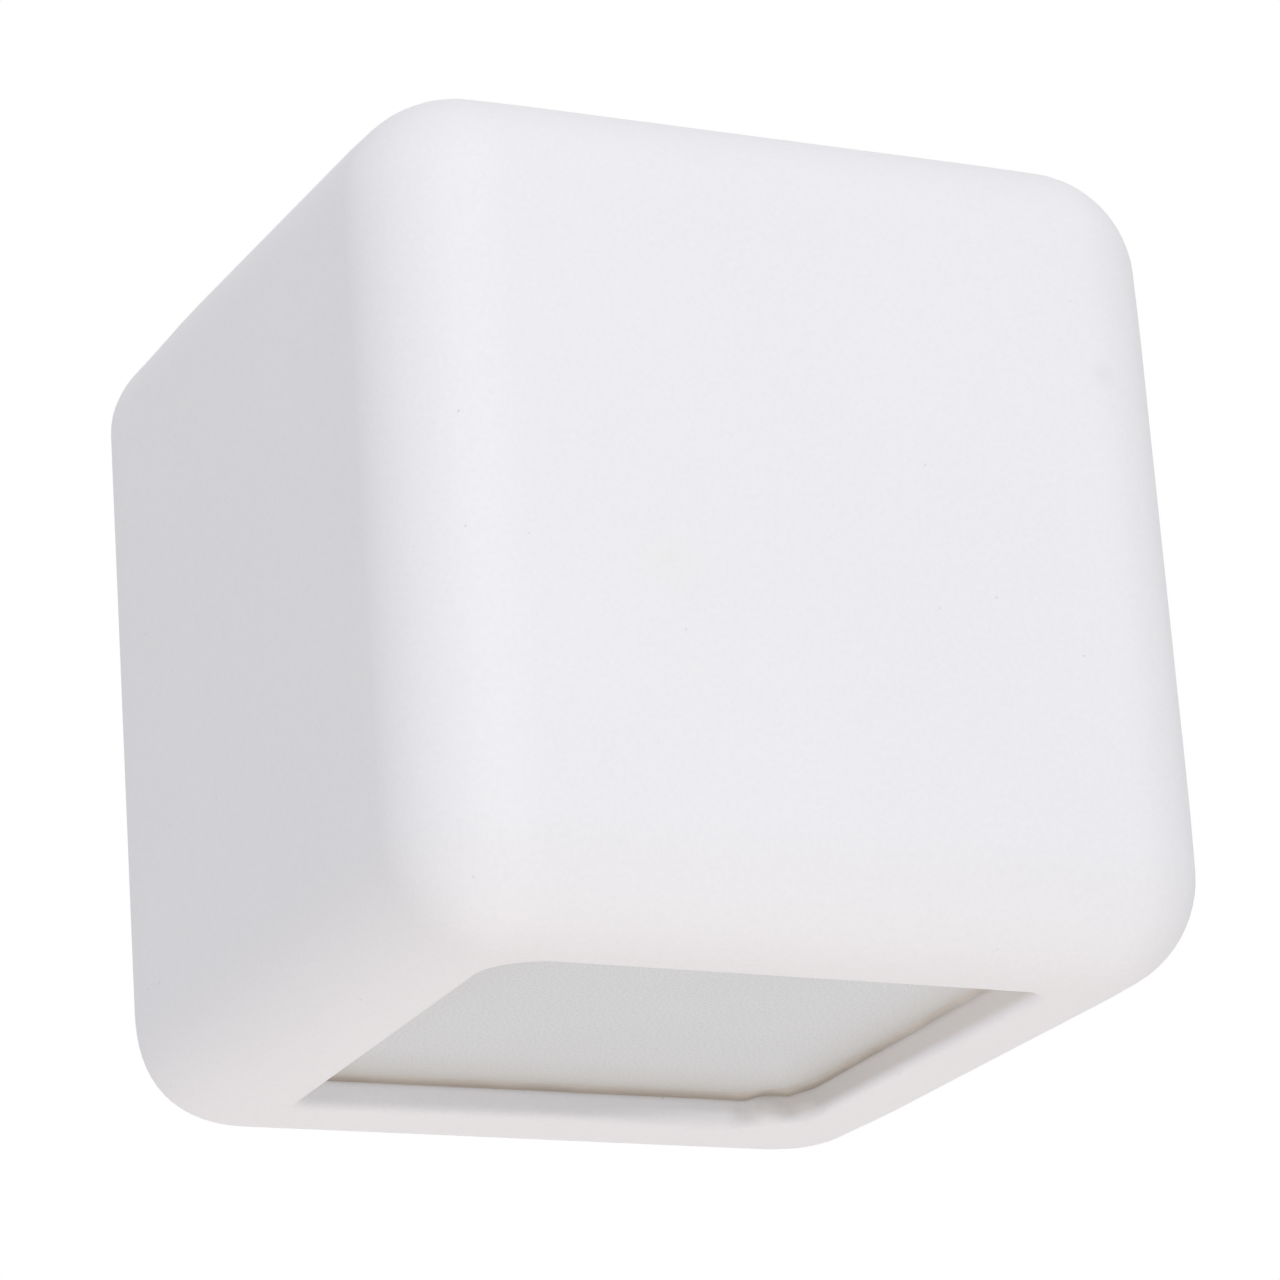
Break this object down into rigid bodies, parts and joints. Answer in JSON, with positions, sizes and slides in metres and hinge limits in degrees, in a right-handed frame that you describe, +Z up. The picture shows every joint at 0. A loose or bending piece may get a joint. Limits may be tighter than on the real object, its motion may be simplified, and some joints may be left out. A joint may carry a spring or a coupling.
{
  "type": "ceramic wall light",
  "caption": "Rounded cube wall light: a hollow matte white ceramic body with opal panes below and above, on a folded steel wall bracket with a plug-in lamp.",
  "frame": {"origin": "on the wall, in the middle of the body's open back", "axes": "+X to the right seen from the room, +Y into the wall, +Z up"},
  "size_m": [0.14, 0.125, 0.1434],
  "materials": {
    "matte_ceramic": "unglazed, fine matte, sponged edges",
    "opal_glass": "opal white, satin",
    "silicone": "white, smooth",
    "zinc_steel": "zinc plated sheet",
    "pad_rubber": "soft cellular, black",
    "grommet_rubber": "soft black",
    "holder_ceramic": "white pressed steatite",
    "brass": "bright",
    "screw_steel": "zinc plated",
    "nylon_washer": "natural nylon",
    "lamp_base_plastic": "moulded white",
    "lamp_cover_opal": "diffusing white",
    "led_board": "white board with yellow chips",
    "pin_wire": "bright nickel wire",
    "terminal_plastic": "natural polyamide",
    "live_sleeve": "brown silicone sleeve",
    "neutral_sleeve": "blue silicone sleeve",
    "earth_sleeve": "green and yellow sleeve"
  },
  "bodies": {
    "bracket": {"wall_plate": "zinc_steel", "arm_pads": "pad_rubber", "cable_grommet": "grommet_rubber", "lampholder_bridge": "zinc_steel", "bridge_rivets": "screw_steel", "lampholder": "holder_ceramic", "lampholder_contacts": "brass", "lampholder_screws": "screw_steel", "lampholder_nuts": "screw_steel", "terminal_block": "terminal_plastic", "terminal_barrels": "brass", "terminal_screws": "screw_steel", "terminal_block_screw": "screw_steel", "earth_tag": "brass", "earth_washer": "screw_steel", "earth_screw": "screw_steel", "live_lead": "live_sleeve", "neutral_lead": "neutral_sleeve", "earth_lead": "earth_sleeve"},
    "shade": {"ceramic_body": "matte_ceramic", "lower_glass": "opal_glass", "upper_glass": "opal_glass", "lower_glass_silicone": "silicone", "upper_glass_silicone": "silicone", "retaining_washer": "nylon_washer"},
    "screw": {"retaining_screw": "screw_steel"},
    "nut": {"nut_bar": "zinc_steel"},
    "bulb": {"bulb_base": "lamp_base_plastic", "bulb_cover": "lamp_cover_opal", "bulb_led_board": "led_board", "bulb_pins": "pin_wire"}
  },
  "joints": [
    {"name": "shade_slide", "type": "slide", "parent": "bracket", "child": "shade", "axis": [0, -1, 0], "range_m": [0, 0.15]},
    {"name": "screw_turn", "type": "hinge", "parent": "shade", "child": "screw", "pos_m": [0, -0.00905, 0.0695], "axis": [0, 0, 1], "range_deg": [0, 1028.6]},
    {"name": "nut_drop", "type": "slide", "parent": "shade", "child": "nut", "axis": [0, 0, -1], "range_m": [0, 0.002]},
    {"name": "bulb_pull", "type": "slide", "parent": "bracket", "child": "bulb", "axis": [0, -1, 0], "range_m": [0, 0.016]}
  ],
  "couplings": [
    {"joint": "screw_turn", "follows": "nut_drop", "rad_per_m": 8976}
  ]
}
